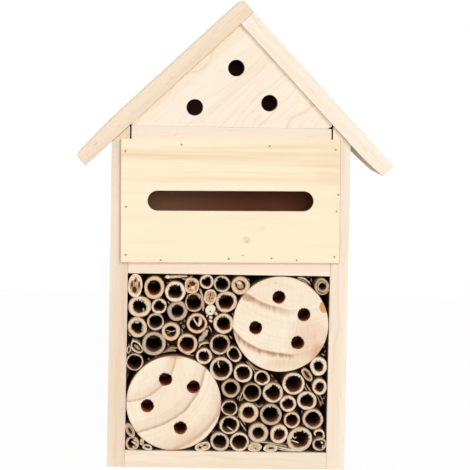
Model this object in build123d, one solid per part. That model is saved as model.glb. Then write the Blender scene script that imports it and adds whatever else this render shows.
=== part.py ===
from build123d import *
import math
import os

# Insect hotel: a small nailed timber house with a gabled roof. The lower room is packed with cut
# canes and two drilled logs, a slotted panel closes the middle room, and a drilled gable the attic.
# Millimetres. X to the right, Y away from the viewer, Z up, zero at the middle of the base.

# House body
body_width = 142.6
body_depth = 70.0
wall_thickness = 10.8
floor_thickness = 10.0
chamber_height = 106.5
shelf_thickness = 12.0
middle_room_height = 64.3
attic_end_gap = 0.8
attic_shoulder = 0.6

# Roof: the ridge is a right angle, and stands a little to the right of the middle of the body
ridge_offset = 4.2
left_roof_thickness = 9.5
right_roof_thickness = 10.5
left_eave_overhang = 21.2
right_eave_overhang = 26.0
roof_front_overhang = 4.0
left_wane_length = 26.0
left_wane_depth = 1.9
right_wane_length = 14.0
right_wane_depth = 1.5

# Gable
gable_thickness = 10.0
gable_hole_diameter = 10.0
gable_hole_drop = 26.4
gable_hole_row_height = 13.0
gable_hole_spacing = 44.5
gable_hole_slant = 3.3
gable_chip_width = 2.6
gable_chip_height = 1.4

# Front and back panels of thin plywood
panel_thickness = 4.0
panel_side_lap = 5.0
panel_sill_lap = 4.35
panel_head_lap = 4.85
panel_turn = 0.7
slot_width = 99.0
slot_height = 12.1
back_panel_thickness = 4.0
hanging_hole_diameter = 8.0
hanging_hole_drop = 45.0

# Pins that nail the house together
pin_diameter = 1.2
pin_fit = 0.05
pin_sides = 8
panel_pin_length = 14.0
wall_pin_length = 25.0
roof_pin_grip = 6.0
gable_pin_grip = 12.0

# Logs
upper_log_diameter = 57.6
lower_log_diameter = 57.2
upper_log_drop = 0.6
log_hole_diameter = 8.0
log_hole_depth = 48.0
log_setback = 0.6

# Canes
cane_diameter = 12.0
cane_setback = 3.0
cane_fit = 0.12
outer_sides = 16
bore_sides = 12
settle_rounds = 300

# One overrun for every cut
overrun = 1.0

# Places that follow from the sizes above
half_width = body_width / 2
half_depth = body_depth / 2
half_chamber = half_width - wall_thickness
chamber_width = body_width - 2 * wall_thickness
shelf_bottom = floor_thickness + chamber_height
shelf_top = shelf_bottom + shelf_thickness
attic_bottom = shelf_top + middle_room_height
attic_top = attic_bottom + shelf_thickness
panel_width = chamber_width + 2 * panel_side_lap
panel_height = panel_sill_lap + middle_room_height + panel_head_lap
panel_centre_height = shelf_top - panel_sill_lap + panel_height / 2
pin_radius = pin_diameter / 2

# The apex sees both outer wall tops at a right angle, so it lies on the circle over the body width.
# The planed wall tops end a shoulder above the attic floor at their inner edges.
roof_rise = math.sqrt(half_width ** 2 - ridge_offset ** 2)
left_slope = math.atan2(roof_rise, half_width + ridge_offset)
right_slope = math.atan2(roof_rise, half_width - ridge_offset)
wall_height = attic_top + attic_shoulder - wall_thickness * math.tan(left_slope)
ridge_height = wall_height + roof_rise

# Log holes: x and z from the log's middle, as shares of its radius
upper_log_hole_shares = ((-0.05, 0.57), (0.48, 0.21), (-0.52, -0.08), (0.36, -0.38))
lower_log_hole_shares = ((-0.18, 0.50), (0.41, 0.35), (-0.55, -0.06), (0.15, -0.52))

# Panel pins in the side walls: height as a share of the panel's, place as a share of the side lap
left_pin_shares = ((0.39, 0.54), (-0.06, 0.34), (-0.45, 0.30))
right_pin_shares = ((0.43, 0.30), (0.065, 0.73), (-0.07, 0.55), (-0.44, 0.42))

# Panel pins in the shelves: place as a share of the chamber's width and of the lap on the shelf
top_pin_shares = ((-0.247, 0.25), (0.187, 0.25))
bottom_pin_shares = ((-0.34, 0.80), (-0.005, 0.50), (0.207, 0.34), (0.331, 0.55))

# Hidden pins: shares of the body's depth, the wall's height, the chamber's width and the roof's rise
depth_pin_shares = (-0.30, 0.30)
back_wall_pin_shares = (0.12, 0.50, 0.88)
back_shelf_pin_shares = (-0.25, 0.25)
ridge_pin_shares = (-0.25, 0.30)
gable_pin_share = 0.45

# Open canes: x and z as shares of the chamber, diameter as a share of cane_diameter, and the bore
# as a share of the cane's own diameter
cane_shares = (
    (0.13, 0.93, 1.08, 0.62), (0.24, 0.90, 1.04, 0.66), (0.06, 0.82, 1.05, 0.60),
    (0.16, 0.82, 0.77, 0.70), (0.25, 0.79, 1.02, 0.56), (0.33, 0.84, 0.95, 0.71),
    (0.14, 0.73, 0.86, 0.76), (0.05, 0.70, 1.00, 0.60), (0.22, 0.68, 0.93, 0.60),
    (0.34, 0.72, 1.02, 0.72), (0.14, 0.62, 1.18, 0.67), (0.30, 0.62, 1.02, 0.67),
    (0.47, 0.95, 0.84, 0.75), (0.50, 0.84, 1.08, 0.66), (0.48, 0.72, 1.02, 0.68),
    (0.56, 0.94, 0.92, 0.55), (0.47, 0.61, 1.02, 0.77), (0.38, 0.54, 0.80, 0.63),
    (0.47, 0.48, 1.16, 0.74), (0.58, 0.45, 0.94, 0.73), (0.68, 0.42, 0.77, 0.71),
    (0.04, 0.50, 0.87, 0.80), (0.52, 0.36, 0.95, 0.64), (0.63, 0.34, 0.95, 0.74),
    (0.73, 0.34, 1.02, 0.73), (0.83, 0.39, 1.13, 0.73), (0.95, 0.49, 0.90, 0.57),
    (0.96, 0.38, 0.78, 0.62), (0.80, 0.28, 0.82, 0.67), (0.90, 0.29, 0.97, 0.68),
    (0.52, 0.25, 0.80, 0.76), (0.61, 0.23, 1.02, 0.57), (0.72, 0.22, 1.06, 0.73),
    (0.83, 0.19, 0.82, 0.74), (0.93, 0.19, 1.04, 0.68), (0.52, 0.15, 0.96, 0.73),
    (0.66, 0.11, 1.00, 0.55), (0.77, 0.11, 0.92, 0.60), (0.87, 0.08, 1.26, 0.66),
    (0.47, 0.06, 0.95, 0.68), (0.57, 0.06, 0.98, 0.74),
)
thin_cane_shares = (
    (0.39, 0.96, 0.72, 0.66), (0.54, 0.55, 0.75, 0.77),
    (0.04, 0.04, 0.70, 0.68), (0.97, 0.05, 0.68, 0.57),
)

# Crushed canes, closed by their pith: x and z as shares of the chamber, thickness and length as
# shares of cane_diameter, and the tilt of the long side in degrees
crushed_shares = (
    (0.04, 0.93, 0.72, 1.15, 90), (0.32, 0.94, 0.64, 0.80, 90), (0.41, 0.875, 0.58, 0.78, 80),
    (0.42, 0.80, 0.52, 0.52, 0), (0.96, 0.94, 0.72, 0.92, 90), (0.90, 0.44, 0.50, 0.70, 60),
    (0.02, 0.12, 0.40, 0.65, 90), (0.39, 0.03, 0.50, 0.78, 0), (0.65, 0.03, 0.44, 0.72, 8),
    (0.72, 0.02, 0.33, 0.68, 0), (0.10, 0.04, 0.40, 0.66, 20),
)
# Splinters of split cane, with the same columns
splinter_shares = (
    (0.05, 0.59, 0.28, 0.75, 30), (0.43, 0.76, 0.26, 0.50, 45), (0.88, 0.975, 0.30, 0.70, -20),
    (0.38, 0.60, 0.24, 0.55, 45), (0.98, 0.10, 0.25, 0.60, 90), (0.80, 0.03, 0.25, 0.66, 0),
)

# How far back each cane's cut end lies, as shares of cane_setback, used in turn
setback_shares = (0.35, 0.0, 0.7, 0.2, 1.0, 0.5, 0.1, 0.85, 0.4)


def along_depth(sketch, front, back):
    """Carry a front-view sketch straight through the house, from its front to its back place."""
    placed = Plane.XZ.offset(-back) * sketch
    return extrude(placed, amount=back - front, dir=(0, -1, 0))


def board(corners, front, back):
    """A flat board with the given front-view corners, each an x and a z."""
    return along_depth(make_face(Polyline(*corners, close=True)), front, back)


def pin(point, direction, length, radius=pin_radius):
    """A headless pin from a point on a board's face, driven along a direction."""
    wire = RegularPolygon(radius, pin_sides)
    return extrude(Plane(origin=point, z_dir=direction) * wire, amount=length)


def bored(piece, pins):
    """The piece with the hole of every pin that is driven into it."""
    for point, direction, length in pins:
        piece = piece - pin(point, direction, length, pin_radius + pin_fit)
    return piece


def driven(pins):
    """The pins themselves, as one group of separate solids."""
    return Compound(children=[pin(*place) for place in pins])


def left_roof_height(x):
    """The height of the left roof board's underside at x."""
    return ridge_height - (ridge_offset - x) * math.tan(left_slope)


def right_roof_height(x):
    """The height of the right roof board's underside at x."""
    return ridge_height - (x - ridge_offset) * math.tan(right_slope)


# Places of the pins
def panel_pins():
    """Pins through the front panel, into the wall edges and the shelf edges behind it."""
    face = -half_depth - panel_thickness
    places = []
    for height, across in left_pin_shares:
        z = panel_centre_height + height * panel_height
        places.append((-half_chamber - across * panel_side_lap, z))
    for height, across in right_pin_shares:
        z = panel_centre_height + height * panel_height
        places.append((half_chamber + across * panel_side_lap, z))
    for along, up in top_pin_shares:
        places.append((along * chamber_width, attic_bottom + up * panel_head_lap))
    for along, down in bottom_pin_shares:
        places.append((along * chamber_width, shelf_top - down * panel_sill_lap))
    return [((x, face, z), (0, 1, 0), panel_pin_length) for x, z in places]


def wall_pins():
    """Pins through both side walls, into the ends of the floor board and the two shelves."""
    heights = (floor_thickness / 2, (shelf_bottom + shelf_top) / 2, (attic_bottom + wall_height) / 2)
    pins = []
    for z in heights:
        for share in depth_pin_shares:
            y = share * body_depth
            pins.append(((-half_width, y, z), (1, 0, 0), wall_pin_length))
            pins.append(((half_width, y, z), (-1, 0, 0), wall_pin_length))
    return pins


def back_pins():
    """Pins through the back panel, into the wall edges and the middle of each shelf's edge."""
    face = half_depth + back_panel_thickness
    places = []
    for share in back_wall_pin_shares:
        for side in (-1, 1):
            places.append((side * (half_width - wall_thickness / 2), share * wall_height))
    for share in back_shelf_pin_shares:
        places.append((share * chamber_width, floor_thickness / 2))
        places.append((share * chamber_width, (attic_bottom + attic_top) / 2))
    return [((x, face, z), (0, -1, 0), panel_pin_length) for x, z in places]


def roof_pins():
    """Pins through the roof boards: two into each wall top, one into the gable, two at the ridge."""
    left_down = (math.sin(left_slope), 0, -math.cos(left_slope))
    right_down = (-math.sin(right_slope), 0, -math.cos(right_slope))
    wall_x = half_width - wall_thickness / 2
    gable_y = -half_depth + gable_thickness / 2
    left_x = ridge_offset - gable_pin_share * (half_width + ridge_offset)
    right_x = ridge_offset + gable_pin_share * (half_width - ridge_offset)
    pins = []
    for share in depth_pin_shares:
        y = share * body_depth
        pins.append(roof_pin(-wall_x, y, left_down, left_roof_thickness, roof_pin_grip))
        pins.append(roof_pin(wall_x, y, right_down, right_roof_thickness, roof_pin_grip))
    pins.append(roof_pin(left_x, gable_y, left_down, left_roof_thickness, gable_pin_grip))
    pins.append(roof_pin(right_x, gable_y, right_down, right_roof_thickness, gable_pin_grip))
    start_x = ridge_offset - left_roof_thickness * math.sin(left_slope)
    start_z = ridge_height + left_roof_thickness * math.cos(left_slope)
    start_x += right_roof_thickness / 2 * math.cos(left_slope)
    start_z += right_roof_thickness / 2 * math.sin(left_slope)
    for share in ridge_pin_shares:
        start = (start_x, share * body_depth, start_z)
        pins.append((start, left_down, left_roof_thickness + gable_pin_grip))
    return pins


def roof_pin(x, y, down, thickness, grip):
    """A pin square to a roof board whose underside it leaves at x, with its grip below that."""
    underside = left_roof_height(x) if down[0] > 0 else right_roof_height(x)
    point = (x - thickness * down[0], y, underside - thickness * down[2])
    return (point, down, thickness + grip)


# Boards of the body
def side_wall(side):
    """A side wall whose top is planed to the slope of the roof board that lies on it."""
    outer = side * half_width
    inner = side * half_chamber
    inner_height = left_roof_height(inner) if side < 0 else right_roof_height(inner)
    corners = ((outer, 0), (inner, 0), (inner, inner_height), (outer, wall_height))
    return board(corners, -half_depth, half_depth)


def level_board(half_length, bottom, thickness):
    """A level board between the side walls: the floor, the shelf or the attic floor."""
    top = bottom + thickness
    corners = ((-half_length, bottom), (half_length, bottom), (half_length, top), (-half_length, top))
    return board(corners, -half_depth, half_depth)


def front_gable():
    """The drilled board under the roof, short of the walls, with its right foot chipped."""
    half_length = half_chamber - attic_end_gap
    chip_top = attic_top + gable_chip_height
    corners = (
        (-half_length, attic_top),
        (half_length - gable_chip_width, attic_top),
        (half_length, chip_top),
        (half_length, right_roof_height(half_length)),
        (ridge_offset, ridge_height),
        (-half_length, left_roof_height(-half_length)),
    )
    gable = board(corners, -half_depth, -half_depth + gable_thickness)
    row = attic_top + gable_hole_row_height
    places = (
        (ridge_offset / 2, ridge_height - gable_hole_drop),
        (-gable_hole_spacing / 2, row - gable_hole_slant / 2),
        (gable_hole_spacing / 2, row + gable_hole_slant / 2),
    )
    for x, z in places:
        hole = Pos(x, z) * Circle(gable_hole_diameter / 2)
        gable = gable - along_depth(hole, -half_depth - overrun, -half_depth + gable_thickness + overrun)
    return gable


def front_panel():
    """The plywood panel over the middle room, nailed on a little askew, with its round-ended slot."""
    sheet = Rectangle(panel_width, panel_height) - SlotOverall(slot_width, slot_height)
    placed = Pos(0, panel_centre_height) * Rot(0, 0, panel_turn) * sheet
    return along_depth(placed, -half_depth - panel_thickness, -half_depth)


def back_panel():
    """The plywood back, as wide as the body, cut to the roof, with a hole to hang it by."""
    corners = (
        (-half_width, 0),
        (half_width, 0),
        (half_width, wall_height),
        (ridge_offset, ridge_height),
        (-half_width, wall_height),
    )
    back = half_depth + back_panel_thickness
    hole = Pos(0, ridge_height - hanging_hole_drop) * Circle(hanging_hole_diameter / 2)
    sheet = board(corners, half_depth, back)
    return sheet - along_depth(hole, half_depth - overrun, back + overrun)


# Roof
def roof_board(start, direction, outward, corners):
    """A roof board, from corners that say how far along the slope and how far outward they lie."""
    places = []
    for along, out in corners:
        x = start[0] + direction[0] * along + outward[0] * out
        z = start[1] + direction[1] * along + outward[1] * out
        places.append((x, z))
    return board(places, -half_depth - roof_front_overhang, half_depth + back_panel_thickness)


def left_roof_board():
    """The left board runs over the end of the right one, and its eave is worn thin on the outside."""
    down = (-math.cos(left_slope), -math.sin(left_slope))
    outward = (-math.sin(left_slope), math.cos(left_slope))
    start = (ridge_offset - down[0] * right_roof_thickness, ridge_height - down[1] * right_roof_thickness)
    slope_length = math.hypot(half_width + ridge_offset, ridge_height - wall_height)
    length = right_roof_thickness + slope_length + left_eave_overhang
    corners = (
        (0, 0),
        (length, 0),
        (length, left_roof_thickness - left_wane_depth),
        (length - left_wane_length, left_roof_thickness),
        (0, left_roof_thickness),
    )
    return roof_board(start, down, outward, corners)


def right_roof_board():
    """The right board starts square under the left one, and its eave is worn thin on the inside."""
    down = (math.cos(right_slope), -math.sin(right_slope))
    outward = (math.sin(right_slope), math.cos(right_slope))
    slope_length = math.hypot(half_width - ridge_offset, ridge_height - wall_height)
    length = slope_length + right_eave_overhang
    corners = (
        (0, 0),
        (length - right_wane_length, 0),
        (length, right_wane_depth),
        (length, right_roof_thickness),
        (0, right_roof_thickness),
    )
    return roof_board((ridge_offset, ridge_height), down, outward, corners)


# Logs
upper_log_radius = upper_log_diameter / 2
lower_log_radius = lower_log_diameter / 2
upper_log_place = (
    half_chamber - cane_fit - upper_log_radius,
    shelf_bottom - upper_log_drop - upper_log_radius,
    upper_log_radius,
)
lower_log_place = (
    -half_chamber + cane_fit + lower_log_radius,
    floor_thickness + cane_fit + lower_log_radius,
    lower_log_radius,
)
log_places = (upper_log_place, lower_log_place)


def log(place, hole_shares):
    """A round log with blind nest holes drilled from the front."""
    x, z, radius = place
    front = -half_depth + log_setback
    piece = along_depth(Pos(x, z) * Circle(radius), front, half_depth)
    for across, up in hole_shares:
        hole = Pos(x + across * radius, z + up * radius) * Circle(log_hole_diameter / 2)
        piece = piece - along_depth(hole, front - overrun, front + log_hole_depth)
    return piece


# How the canes pack the lower room
def placed(rows):
    """The x, z and radius of each row's cane, before the canes settle."""
    canes = []
    for row in rows:
        x = -half_chamber + row[0] * chamber_width
        z = floor_thickness + row[1] * chamber_height
        canes.append([x, z, row[2] * cane_diameter / 2])
    return canes


def push_apart(canes):
    """One round of settling: canes that overlap part by half each, and the logs stand firm."""
    for i, cane in enumerate(canes):
        for other in canes[i + 1:]:
            part_pair(cane, other, 0.5)
        for place in log_places:
            part_pair(cane, list(place), 1.0)
        keep_inside(cane)


def part_pair(cane, other, own_share):
    """Part two canes along the line between their middles, the first by its share of the overlap."""
    dx, dz = cane[0] - other[0], cane[1] - other[1]
    distance = math.hypot(dx, dz)
    overlap = cane[2] + other[2] + cane_fit - distance
    if overlap > 0 and distance > 0:
        step_x, step_z = dx * overlap / distance, dz * overlap / distance
        cane[0] += own_share * step_x
        cane[1] += own_share * step_z
        other[0] -= (1 - own_share) * step_x
        other[1] -= (1 - own_share) * step_z


def keep_inside(cane):
    """Keep a cane off the walls, the floor and the shelf."""
    reach = cane[2] + cane_fit
    cane[0] = min(max(cane[0], reach - half_chamber), half_chamber - reach)
    cane[1] = min(max(cane[1], floor_thickness + reach), shelf_bottom - reach)


def room_around(cane, canes):
    """The least gap between a cane and whatever stands nearest to it."""
    gaps = [half_chamber - abs(cane[0]), cane[1] - floor_thickness, shelf_bottom - cane[1]]
    for other in canes + list(log_places):
        if other is not cane:
            gaps.append(math.hypot(cane[0] - other[0], cane[1] - other[1]) - other[2])
    return min(gaps) - cane[2]


def settle(canes):
    """Push the canes apart, then trim those still tight and swell those still loose to a light fit."""
    for _ in range(settle_rounds):
        push_apart(canes)
    for _ in range(settle_rounds):
        for cane in canes:
            cane[2] -= max(cane_fit - room_around(cane, canes), 0) / 2
    for cane in canes:
        cane[2] += max(room_around(cane, canes) - cane_fit, 0)
    return canes


def cane_front(number):
    """Where a cane's cut end lies: none is flush with all its neighbours."""
    return -half_depth + setback_shares[number % len(setback_shares)] * cane_setback


def open_cane(cane, bore_share, number):
    """A cut length of cane, many-sided as a split culm nearly is, with its bore open right through."""
    x, z, radius = cane
    turn = 360 / outer_sides * number / 3
    ring = RegularPolygon(radius, outer_sides, rotation=turn)
    ring = ring - RegularPolygon(radius * bore_share, bore_sides, rotation=turn)
    return along_depth(Pos(x, z) * ring, cane_front(number), half_depth)


def room_along(cane, others, dx, dz):
    """How far a cane's round end can travel one way before it meets a wall, a log or a cane."""
    x, z, radius = cane
    reach = radius + cane_fit
    limits = [half_width]
    if dx:
        limits.append((math.copysign(half_chamber - reach, dx) - x) / dx)
    if dz:
        limits.append(((shelf_bottom - reach if dz > 0 else floor_thickness + reach) - z) / dz)
    for other in others:
        ahead = (other[0] - x) * dx + (other[1] - z) * dz
        beside = abs((other[0] - x) * dz - (other[1] - z) * dx)
        near = other[2] + reach
        if ahead > 0 and beside < near:
            limits.append(ahead - math.sqrt(near ** 2 - beside ** 2))
    return max(min(limits), 0)


def flat_ends(cane, others, length, tilt):
    """The middles of a crushed cane's two round ends, as far apart as its length and its room allow."""
    x, z, radius = cane
    dx, dz = math.cos(math.radians(tilt)), math.sin(math.radians(tilt))
    room = min(room_along(cane, others, dx, dz), room_along(cane, others, -dx, -dz))
    half_length = max(min(length / 2 - radius, room), 0)
    step_x, step_z = half_length * dx, half_length * dz
    return [x - step_x, z - step_z, radius], [x + step_x, z + step_z, radius]


def flat_cane(ends, tilt, number):
    """A cane that the packing has crushed to a flat oval, filled by its own pith."""
    start, end = ends
    length = math.dist(start, end)
    outline = Circle(start[2])
    if length > cane_fit:
        outline = SlotCenterToCenter(length, 2 * start[2], rotation=tilt)
    middle = Pos((start[0] + end[0]) / 2, (start[1] + end[1]) / 2)
    return along_depth(middle * outline, cane_front(number), half_depth)


def cane_nodes():
    """Every cane in its settled place: the wide ones singly, the thin and the crushed in groups."""
    open_rows = cane_shares + thin_cane_shares
    flat_rows = crushed_shares + splinter_shares
    canes = settle(placed(open_rows + flat_rows))
    tubes = [open_cane(canes[i], row[3], i) for i, row in enumerate(open_rows)]
    standing = canes + [list(place) for place in log_places]
    flats = []
    for number, (row, cane) in enumerate(zip(flat_rows, canes[len(open_rows):])):
        others = [other for other in standing if other is not cane]
        ends = flat_ends(cane, others, row[3] * cane_diameter, row[4])
        standing += ends
        flats.append(flat_cane(ends, row[4], number))
    nodes = {f"cane_{i + 1:02d}": tubes[i] for i in range(len(cane_shares))}
    nodes["thin_canes"] = Compound(children=tubes[len(cane_shares):])
    nodes["crushed_canes"] = Compound(children=flats[:len(crushed_shares)])
    nodes["cane_splinters"] = Compound(children=flats[len(crushed_shares):])
    return nodes


def build():
    """Every piece of the house, by the name of its node."""
    front, sides, back, roof = panel_pins(), wall_pins(), back_pins(), roof_pins()
    nodes = {
        "left_side_wall": bored(side_wall(-1), front + sides + back + roof),
        "right_side_wall": bored(side_wall(1), front + sides + back + roof),
        "floor_board": bored(level_board(half_chamber, 0, floor_thickness), sides + back),
        "middle_shelf": bored(level_board(half_chamber, shelf_bottom, shelf_thickness), front + sides),
        "attic_floor": bored(
            level_board(half_chamber - attic_end_gap, attic_bottom, shelf_thickness),
            front + sides + back,
        ),
        "front_gable": bored(front_gable(), roof),
        "front_panel": bored(front_panel(), front),
        "back_panel": bored(back_panel(), back),
        "left_roof_board": bored(left_roof_board(), roof),
        "right_roof_board": bored(right_roof_board(), roof),
        "upper_log": log(upper_log_place, upper_log_hole_shares),
        "lower_log": log(lower_log_place, lower_log_hole_shares),
        "panel_pins": driven(front),
        "wall_pins": driven(sides),
        "back_pins": driven(back),
        "roof_pins": driven(roof),
    }
    nodes.update(cane_nodes())
    return nodes


os.makedirs("parts", exist_ok=True)
for name, piece in build().items():
    export_step(piece, f"parts/{name}.step")
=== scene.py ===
# %% [markdown]
# # An insect hotel
# A small nailed timber house for solitary bees. The lower room is packed with cut canes and two
# drilled logs, a thin plywood panel with a slot closes the middle room, and a gable with three
# holes closes the attic. The measured solids come in first as a fixed frame. The boards, the logs
# and the canes that are made here take their places from it, so nearly nothing is fitted by eye.

# %% Load the frame
import math

import bpy
import numpy as np
from mathutils import Matrix, Vector


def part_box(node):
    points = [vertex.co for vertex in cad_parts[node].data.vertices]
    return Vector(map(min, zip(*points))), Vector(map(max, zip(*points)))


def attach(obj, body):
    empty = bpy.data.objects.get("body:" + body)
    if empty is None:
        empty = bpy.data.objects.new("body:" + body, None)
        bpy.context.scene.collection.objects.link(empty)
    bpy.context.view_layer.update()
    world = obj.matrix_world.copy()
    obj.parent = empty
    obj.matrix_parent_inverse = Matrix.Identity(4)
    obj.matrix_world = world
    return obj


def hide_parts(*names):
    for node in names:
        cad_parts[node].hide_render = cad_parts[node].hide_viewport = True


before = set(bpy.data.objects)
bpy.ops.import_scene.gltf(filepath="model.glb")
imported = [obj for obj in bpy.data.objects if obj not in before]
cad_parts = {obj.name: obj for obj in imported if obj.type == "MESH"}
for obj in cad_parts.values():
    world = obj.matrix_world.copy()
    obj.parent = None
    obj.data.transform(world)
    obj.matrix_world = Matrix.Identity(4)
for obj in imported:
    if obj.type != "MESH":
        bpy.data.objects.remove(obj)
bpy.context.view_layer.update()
scene = bpy.context.scene

# %% [markdown]
# ## Words for paint
# Colours are easiest to judge as the hex values that an eye picks from a sample card, but light
# adds up in linear values. One helper turns the first into the second.

# %% Colour
def paint(card):
    """A hex colour as linear red, green, blue and alpha: each share is raised by the screen's curve."""
    shares = np.array([int(card[i:i + 2], 16) / 255 for i in (1, 3, 5)])
    linear = np.where(shares <= 0.04045, shares / 12.92, ((shares + 0.055) / 1.055) ** 2.4)
    return (*linear.tolist(), 1.0)


print("Fresh pine reads as", [round(v, 3) for v in paint("#fbe9d0")])

# %% [markdown]
# ## Places on the house
# Places are read off the fixed frame in millimetres: X runs to the right, Y away from the viewer and
# Z up. They could be typed in again, but then a change of size would leave the looks behind. The
# few that are used often get a name.

# %% Measures
def reach(node):
    """A node's lowest and highest corner in millimetres."""
    low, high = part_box(node)
    return np.array(low) * 1000, np.array(high) * 1000


wall_low, wall_high = reach("right_side_wall")
inner_half, outer_half, wall_front = wall_low[0], wall_high[0], wall_low[1]
print("The walls stand", round(2 * inner_half, 2), "mm apart")

# %% [markdown]
# ## Materials as sums
# A wood is a few patterns added together: broad bands, fine fibres and pores. Wiring each sum by
# hand hides the idea, so a socket is wrapped in a small class whose plus, minus, times and divide
# add the Math nodes. Every other node comes from one method, which sets the node's own settings
# before it fills its sockets. A colour may be given by its hex value, and coats of colour are laid
# over one another as a painter glazes.

# %% Sockets that add up
class Wire:
    """One output socket of a pattern. Arithmetic on it adds Math nodes."""

    def __init__(self, pattern, socket):
        self.pattern = pattern
        self.socket = socket

    def __add__(self, other):
        return self.pattern.maths("ADD", self, other)

    def __sub__(self, other):
        return self.pattern.maths("SUBTRACT", self, other)

    def __rsub__(self, other):
        return self.pattern.maths("SUBTRACT", other, self)

    def __mul__(self, other):
        return self.pattern.maths("MULTIPLY", self, other)

    def __truediv__(self, other):
        return self.pattern.maths("DIVIDE", self, other)


class Pattern:
    """A node tree, and the words that build what it shows."""

    def __init__(self, tree):
        self.tree = tree

    def fill(self, node, sockets):
        """Gives each named socket its value, its colour or its link."""
        for name, value in sockets.items():
            if isinstance(value, Wire):
                self.tree.links.new(value.socket, node.inputs[name])
            else:
                node.inputs[name].default_value = paint(value) if isinstance(value, str) else value

    def node(self, kind, sockets, output=0, **settings):
        """A node of this kind: its settings first, then its sockets."""
        made = self.tree.nodes.new("ShaderNode" + kind)
        for name, value in settings.items():
            setattr(made, name, value)
        self.fill(made, sockets)
        return Wire(self, made.outputs[output])

    def maths(self, operation, *values):
        """A Math node on the values."""
        return self.node("Math", dict(enumerate(values)), operation=operation)

    def seen(self):
        """1 for a ray from the camera, a mirror or a glass, and 0 for the light that bounces."""
        kinds = ("Camera", "Glossy", "Transmission")
        camera, mirror, glass = (self.node("LightPath", {}, output=f"Is {kind} Ray") for kind in kinds)
        return self.maths("MAXIMUM", self.maths("MAXIMUM", camera, mirror), glass)


class Finish(Pattern):
    """A material whose colour, roughness and bump come from its pattern."""

    def __init__(self, name):
        self.material = bpy.data.materials.new(name)
        self.material.use_nodes = True
        super().__init__(self.material.node_tree)
        self.shader = self.tree.nodes["Principled BSDF"]
        self.place = self.node("TexCoord", {}, output="Object")

    def along(self, axis):
        """The object's place along one axis, in millimetres."""
        return self.node("SeparateXYZ", {"Vector": self.place}, output=axis) * 1000

    def oval(self, middle, half):
        """How far a place lies from a middle in X and Z, in squared half sizes: 1 on the oval's edge."""
        across, up = ((self.along(axis) - at) / size for axis, at, size in zip("XZ", middle, half))
        return across * across + up * up

    def step(self, value, start, end):
        """0 below start, 1 past end, and a smooth rise between."""
        sockets = {"Value": value, "From Min": start, "From Max": end}
        return self.node("MapRange", sockets, interpolation_type="SMOOTHSTEP", clamp=True)

    def mix(self, share, plain, other):
        """The plain colour where the share is 0, and the other where it is 1."""
        return self.node("Mix", {0: share, 6: plain, 7: other}, output=2, data_type="RGBA")

    def tinted(self, colour, *coats):
        """Lays on coat after coat: each shows as its pattern rises from start to end, up to its share."""
        for pattern, start, end, share, tint in coats:
            colour = self.mix(self.step(pattern, start, end) * share, colour, tint)
        return colour

    def turned(self, angle, scale=(1, 1, 1), shift=(0, 0, 0)):
        """The object's place, turned about the Y axis, then stretched."""
        flat = self.node("VectorRotate", {"Vector": self.place, "Angle": angle}, rotation_type="Y_AXIS")
        return self.node("Mapping", {"Vector": flat, "Scale": scale, "Location": shift})

    def noise(self, where, scale=1.0, detail=2.0, roughness=0.5):
        """Soft random values around a half."""
        sockets = {"Vector": where, "Scale": scale, "Detail": detail, "Roughness": roughness}
        return self.node("TexNoise", sockets)

    def value(self, name):
        """A number that the mesh carries at each point."""
        return self.node("Attribute", {}, output="Fac", attribute_name=name)

    def done(self, colour, roughness, height, relief):
        """Gives the shader its colour, roughness, bump and a low gloss, and returns the material."""
        bump = self.node("Bump", {"Height": height, "Distance": relief, "Strength": 1.0})
        self.fill(self.shader, {
            "Base Color": colour, "Roughness": roughness, "Specular IOR Level": 0.3, "Normal": bump})
        return self.material


print("A finish is ready to be mixed")

# %% [markdown]
# ## Planed softwood
# The boards are a pale, plain-sawn softwood: cream, with faint bands where the growth rings run out
# of the face, a fine grain along the board, and a scatter of short pores. A photograph of wood
# could be wrapped round them, but its grain would stop at every edge. Here the grain is a pattern
# in space, so it runs through the board. One recipe serves every board. Only the direction of the
# grain, three tints from pale to dark, the contrast and the curl of the lines change, because the
# sawyer cut them from different planks. Where a board faces a room, it is painted darker from just
# behind its front edge, as the shade inside the room, and the eaves' undersides are painted darker
# as their shade.

# %% Board finishes
def planed_wood(name, grain, pale, band, vein, shift=0.0, contrast=1.0, room_shade=0.0, curl=0.5):
    """Bands, veins, fibres and pores along the grain, then painted shade inside the rooms and under the
    eaves.
    """
    wood = Finish(name)
    apart = (shift, shift * 1.7, shift * 0.6)
    wander = wood.noise(wood.turned(grain, (9, 40, 40), apart))
    swirl = (wood.noise(wood.place, 28, detail=1) - 0.5) * curl
    curved = wood.node("CombineXYZ", {"X": apart[0], "Y": apart[1], "Z": swirl * 6 + apart[2]})
    broad = wood.noise(wood.turned(grain, (4, 60, 75), apart), detail=3, roughness=0.55)
    lines = wood.noise(wood.turned(grain, (7, 240, 330), curved), detail=4, roughness=0.6)
    fibres = wood.noise(wood.turned(grain, (60, 1500, 1900), apart))
    pores = wood.noise(wood.turned(grain, (140, 1500, 1500), apart), detail=1)
    indoors = 1 - wood.step(wood.maths("ABSOLUTE", wood.along("X")), inner_half + 0.2, inner_half + 0.5)
    # The last coat is painted shade: darker from just behind the front edge where a board faces a room
    colour = wood.tinted(
        pale,
        (broad + wander * 0.4, 0.52, 0.92, 0.85 * contrast, band), (lines, 0.5, 0.78, 0.5 * contrast, vein),
        (fibres, 0.5, 0.8, 0.16, vein), (pores, 0.7, 0.8, 0.15, "#b08a62"),
        (wood.along("Y"), wall_front + 0.6, wall_front + 7, indoors * room_shade, "#5e3c2a"))
    # Painted shade: the eave undersides, marked by "under", are mixed darker
    colour = wood.mix(wood.value("under") * 0.85, colour, "#d8c4ac")
    height = lines * 0.5 + fibres * 0.5 - wood.step(pores, 0.7, 0.8) * 0.5
    return wood.done(colour, fibres * 0.12 + 0.56, height, 0.00018)


left_grain, right_grain, upright = math.radians(43.3), -math.radians(46.7), -math.pi / 2
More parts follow.
